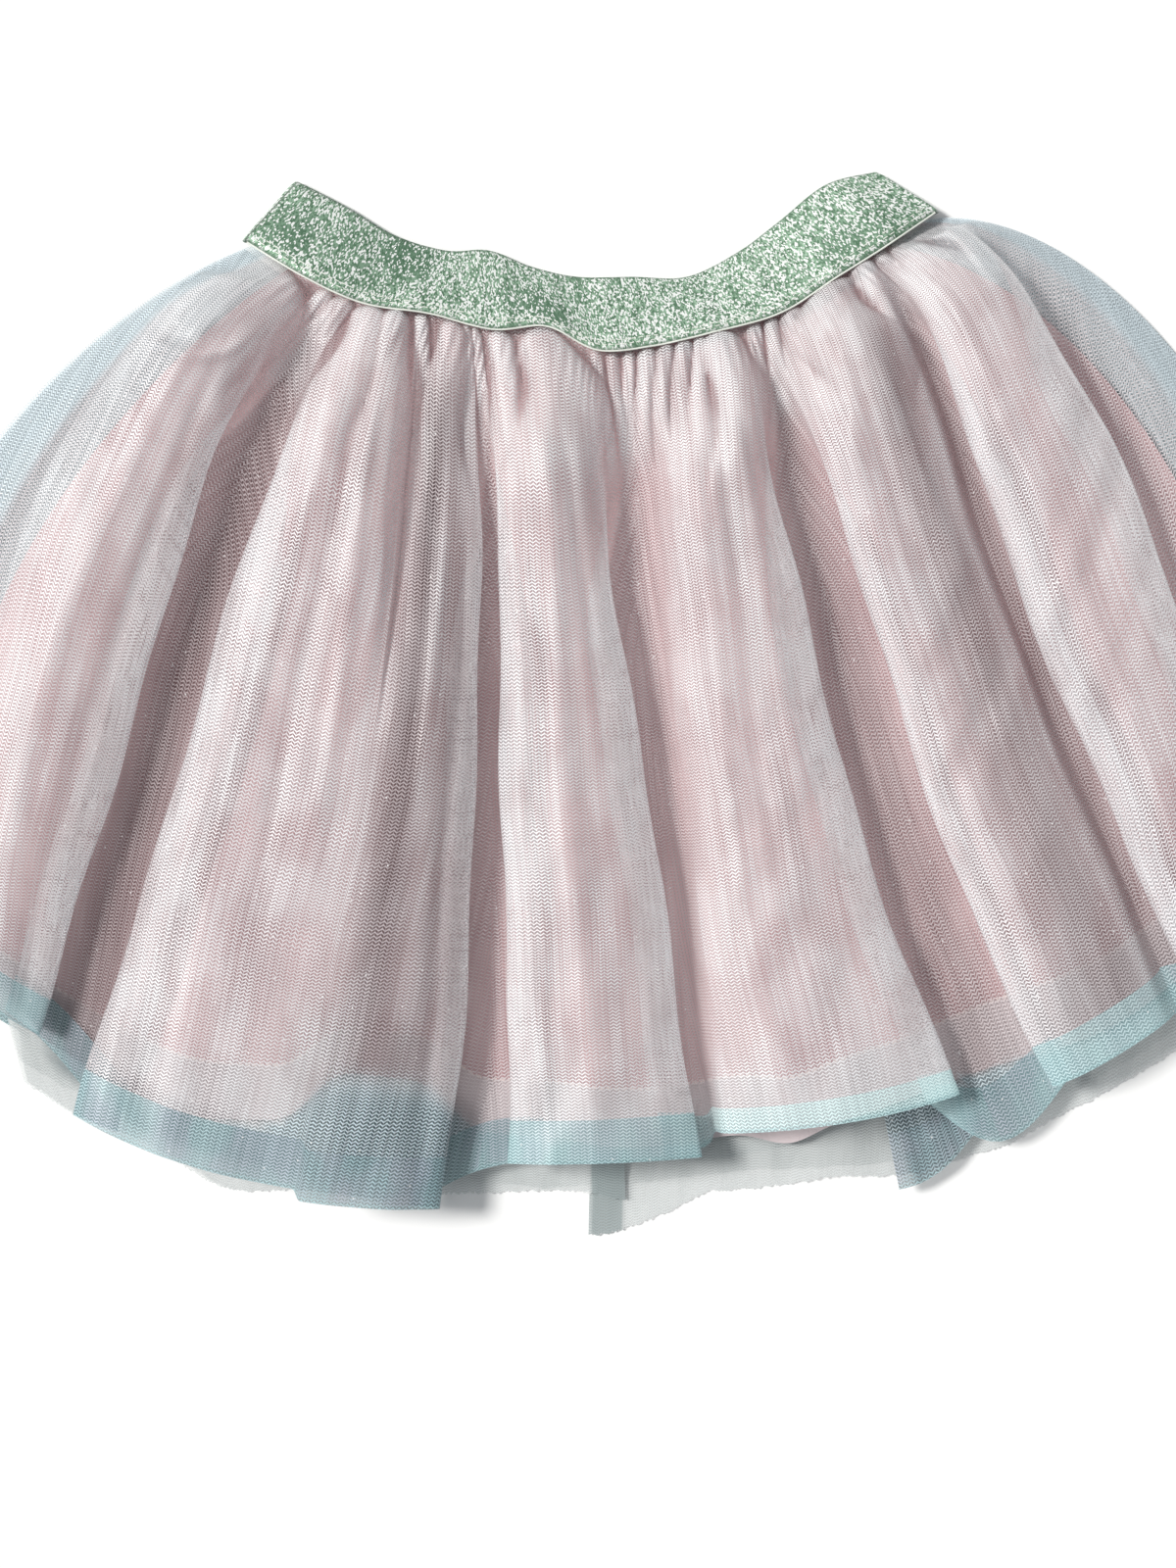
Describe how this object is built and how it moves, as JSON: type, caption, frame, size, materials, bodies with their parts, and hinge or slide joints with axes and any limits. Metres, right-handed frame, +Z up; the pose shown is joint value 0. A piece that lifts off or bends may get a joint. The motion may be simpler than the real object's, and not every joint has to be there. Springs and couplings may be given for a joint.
{
  "type": "tulle skirt",
  "caption": "Gathered tulle skirt with a glitter elastic waist, a lining and a longer under-net, laid flat with its folds spread in a fan.",
  "frame": {"origin": "middle of the laid-out skirt's bounding box, on the surface it lies on", "axes": "+Z up from the surface, +Y towards the waist, +X towards the right of the skirt seen from above"},
  "size_m": [0.5258, 0.38, 0.0354],
  "materials": {
    "glitter_elastic": "mint elastic covered in glitter",
    "tulle": "silvery white tulle with a sheen and a turned-up hem",
    "lining": "pale pink matt woven lining",
    "net": "off-white stiff net with a raw cut edge"
  },
  "bodies": {
    "root": {"waist_elastic": "glitter_elastic", "tulle_front": "tulle", "tulle_back": "tulle", "lining_front": "lining", "lining_back": "lining", "net_front_left": "net", "net_front_right": "net", "net_back": "net"}
  },
  "joints": []
}
